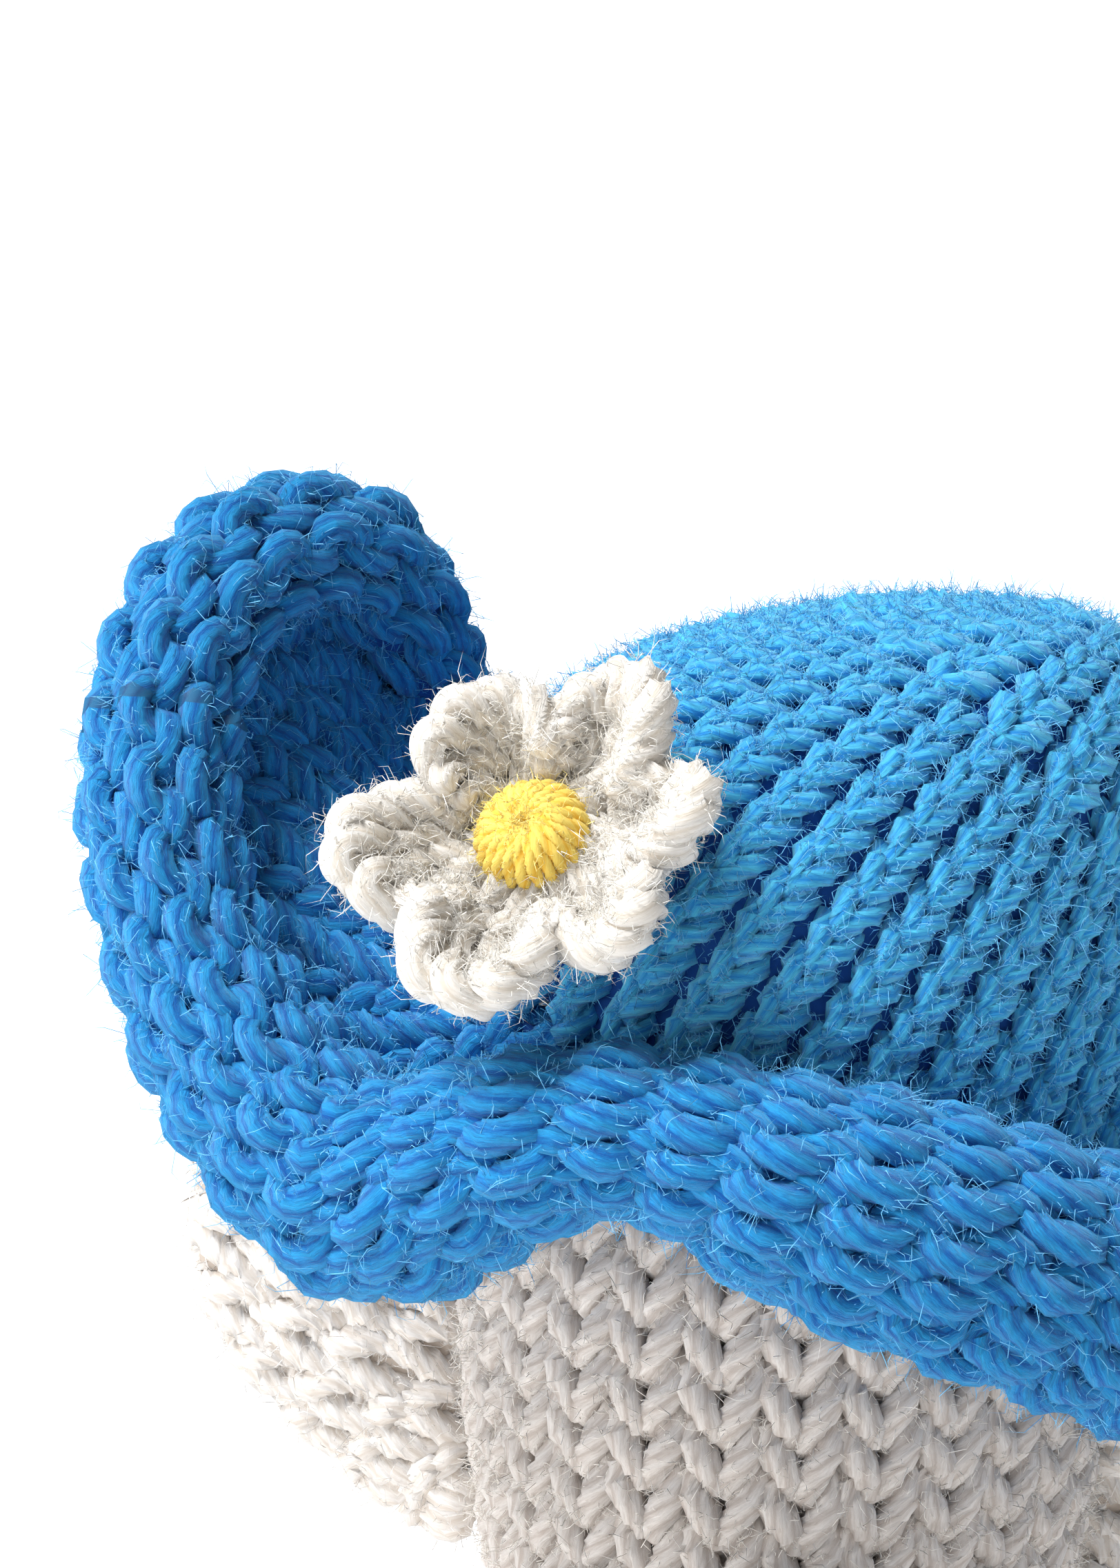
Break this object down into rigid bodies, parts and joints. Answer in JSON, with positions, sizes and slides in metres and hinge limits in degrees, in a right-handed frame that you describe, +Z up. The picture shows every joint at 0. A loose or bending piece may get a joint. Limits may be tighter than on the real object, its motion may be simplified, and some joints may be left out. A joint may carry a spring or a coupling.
{
  "type": "stuffed elephant",
  "caption": "Hand-knitted sitting toy elephant with stuffed body, trunk, ears and limbs, wearing a floppy knitted hat with a rolled brim and a crocheted flower.",
  "frame": {"origin": "middle of the flat seat, on the surface that the toy sits on", "axes": "+Z up through the body and the head, the face looks along -Y, +X is the toy's own left"},
  "size_m": [0.1004, 0.1349, 0.1445],
  "materials": {
    "cream_wool": "hand-knitted stockinette in soft single-ply wool",
    "fibre_filling": "loose polyester fibre",
    "blue_wool": "hand-knitted stockinette in plied wool, rolled edge",
    "white_cotton": "crocheted soft yarn",
    "yellow_thread": "wound embroidery thread",
    "eye_plastic": "polished",
    "washer_plastic": "moulded"
  },
  "bodies": {
    "torso": {"body_cover": "cream_wool", "body_stuffing": "fibre_filling"},
    "head": {"head_cover": "cream_wool", "head_stuffing": "fibre_filling", "eye_left": "eye_plastic", "eye_right": "eye_plastic", "eye_washer_left": "washer_plastic", "eye_washer_right": "washer_plastic"},
    "trunk": {"trunk_cover": "cream_wool", "trunk_stuffing": "fibre_filling"},
    "ear_left": {"ear_left": "cream_wool"},
    "ear_right": {"ear_right": "cream_wool"},
    "arm_left": {"arm_left_cover": "cream_wool", "arm_left_stuffing": "fibre_filling"},
    "arm_right": {"arm_right_cover": "cream_wool", "arm_right_stuffing": "fibre_filling"},
    "leg_left": {"leg_left_cover": "cream_wool", "leg_left_stuffing": "fibre_filling"},
    "leg_right": {"leg_right_cover": "cream_wool", "leg_right_stuffing": "fibre_filling"},
    "tail": {"tail": "cream_wool", "tail_tuft": "cream_wool"},
    "hat": {"hat": "blue_wool", "flower_petals": "white_cotton", "flower_centre": "yellow_thread"}
  },
  "joints": [
    {"name": "head_turn", "type": "hinge", "parent": "torso", "child": "head", "pos_m": [0, 0, 0.0573], "axis": [0, 0, 1], "range_deg": [-35, 35]},
    {"name": "trunk_swing", "type": "hinge", "parent": "head", "child": "trunk", "pos_m": [0, -0.024, 0.0675], "axis": [-1, 0, 0], "range_deg": [-6, 45]},
    {"name": "ear_left_flap", "type": "hinge", "parent": "head", "child": "ear_left", "pos_m": [0.0217, 0.0076, 0.07], "axis": [0, 0, -1], "range_deg": [-10, 20]},
    {"name": "ear_right_flap", "type": "hinge", "parent": "head", "child": "ear_right", "pos_m": [-0.0217, 0.0076, 0.07], "axis": [0, 0, 1], "range_deg": [-15, 30]},
    {"name": "arm_left_swing", "type": "hinge", "parent": "torso", "child": "arm_left", "pos_m": [0.0278, -0.002, 0.0465], "axis": [-1, 0, 0], "range_deg": [-30, 80]},
    {"name": "arm_right_swing", "type": "hinge", "parent": "torso", "child": "arm_right", "pos_m": [-0.0278, -0.002, 0.0465], "axis": [-1, 0, 0], "range_deg": [-30, 80]},
    {"name": "leg_left_swing", "type": "hinge", "parent": "torso", "child": "leg_left", "pos_m": [0.015, -0.0255, 0.0116], "axis": [-1, 0, 0], "range_deg": [-30, 12]},
    {"name": "leg_right_swing", "type": "hinge", "parent": "torso", "child": "leg_right", "pos_m": [-0.015, -0.0255, 0.0116], "axis": [-1, 0, 0], "range_deg": [-30, 12]},
    {"name": "tail_swing", "type": "hinge", "parent": "torso", "child": "tail", "pos_m": [0, 0.0286, 0.015], "axis": [0, 0, 1], "range_deg": [-45, 45]},
    {"name": "hat_lift", "type": "slide", "parent": "head", "child": "hat", "axis": [0, 0, 1], "range_m": [0, 0.06]}
  ]
}
